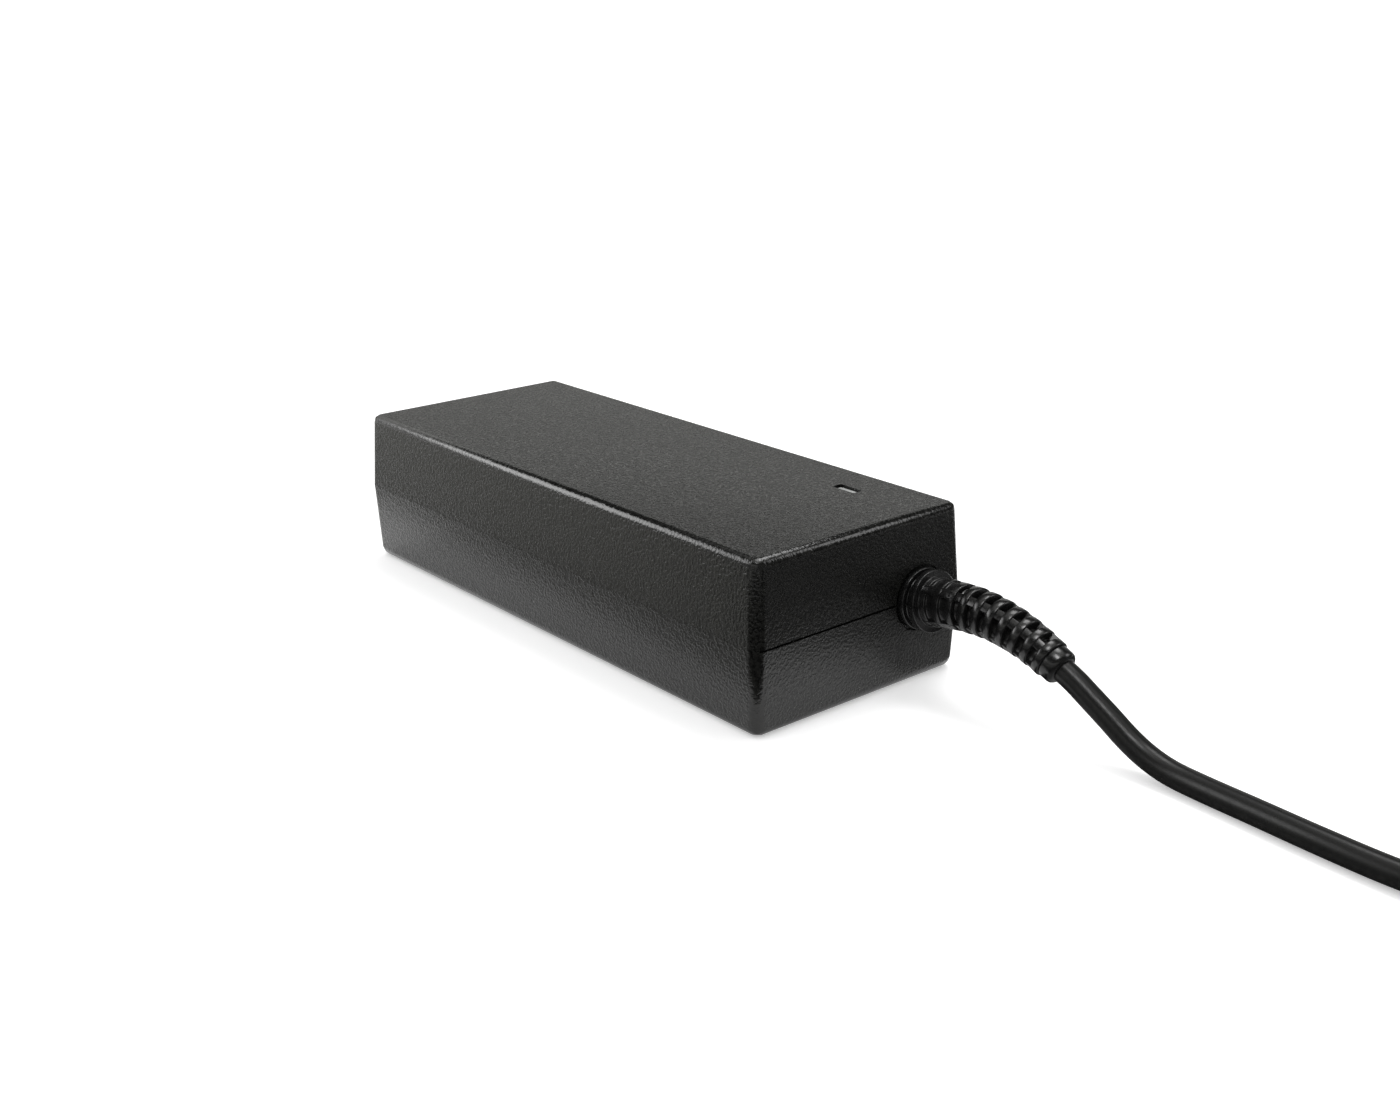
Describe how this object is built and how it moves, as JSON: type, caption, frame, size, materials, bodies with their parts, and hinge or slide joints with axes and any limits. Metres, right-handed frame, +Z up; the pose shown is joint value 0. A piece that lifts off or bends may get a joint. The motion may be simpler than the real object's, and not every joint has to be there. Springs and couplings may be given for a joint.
{
  "type": "laptop power adapter",
  "caption": "Drafted two-shell power brick with a recessed mains inlet, an indicator window, and a slotted strain relief on a thin output cord with a barrel plug.",
  "frame": {"origin": "under the middle of the housing, on the surface that it stands on", "axes": "+X along the housing's length towards the output cord, +Y across it towards the side nearer the cord, +Z up"},
  "size_m": [0.3029, 0.0715, 0.0321],
  "materials": {
    "housing": "fine spark-eroded texture, satin black",
    "window": "frosted clear window",
    "cord_moulding": "soft satin black moulding",
    "cord_jacket": "satin black jacket",
    "tie": "woven black strap",
    "contact": "nickel plated brass",
    "insulator": "pale insulating plastic",
    "inlet": "black moulded plastic",
    "line_wire": "brown insulation",
    "neutral_wire": "blue insulation",
    "earth_wire": "green and yellow insulation",
    "positive_wire": "red insulation",
    "board": "coated laminate",
    "fuse_glass": "clear glass",
    "disc_coating": "blue dipped coating",
    "film_case": "yellow moulded case",
    "ferrite": "dark sintered ferrite",
    "enamelled_wire": "enamelled copper windings",
    "winding_tape": "yellow polyester tape",
    "package_resin": "black moulding resin",
    "capacitor_sleeve": "dark shrunk sleeve",
    "heatsink": "plain rolled sheet",
    "indicator": "tinted clear resin",
    "screen": "thin copper sheet"
  },
  "bodies": {
    "root": {"upper_case": "housing", "lower_case": "housing", "light_pipe": "window", "strain_relief": "cord_moulding", "dc_cord": "cord_jacket", "dc_cord_coil": "cord_jacket", "dc_cord_tail": "cord_jacket", "cord_tie": "tie", "plug_sleeve": "cord_moulding", "plug_barrel": "contact", "plug_insulator": "insulator", "plug_contact": "contact", "inlet_housing": "inlet", "line_blade": "contact", "neutral_blade": "contact", "earth_blade": "contact", "line_lead": "line_wire", "neutral_lead": "neutral_wire", "earth_lead": "earth_wire", "circuit_board": "board", "fuse": "fuse_glass", "inrush_thermistor": "disc_coating", "x_capacitor": "film_case", "line_filter_core": "ferrite", "line_filter_winding_1": "enamelled_wire", "line_filter_winding_2": "enamelled_wire", "bridge_rectifier": "package_resin", "bulk_capacitor": "capacitor_sleeve", "primary_heatsink": "heatsink", "primary_switch": "package_resin", "transformer_core": "ferrite", "transformer_bobbin": "package_resin", "transformer_winding": "winding_tape", "controller_chip": "package_resin", "y_capacitor": "disc_coating", "optocoupler": "package_resin", "secondary_heatsink": "heatsink", "output_rectifier": "package_resin", "output_capacitor_1": "capacitor_sleeve", "output_capacitor_2": "capacitor_sleeve", "output_choke_core": "ferrite", "output_choke_winding": "enamelled_wire", "indicator_led": "indicator", "insulating_sheet": "insulator", "lower_shield": "screen", "upper_shield": "screen", "cord_core": "cord_jacket", "output_lead_positive": "positive_wire", "output_lead_negative": "cord_jacket"}
  },
  "joints": []
}
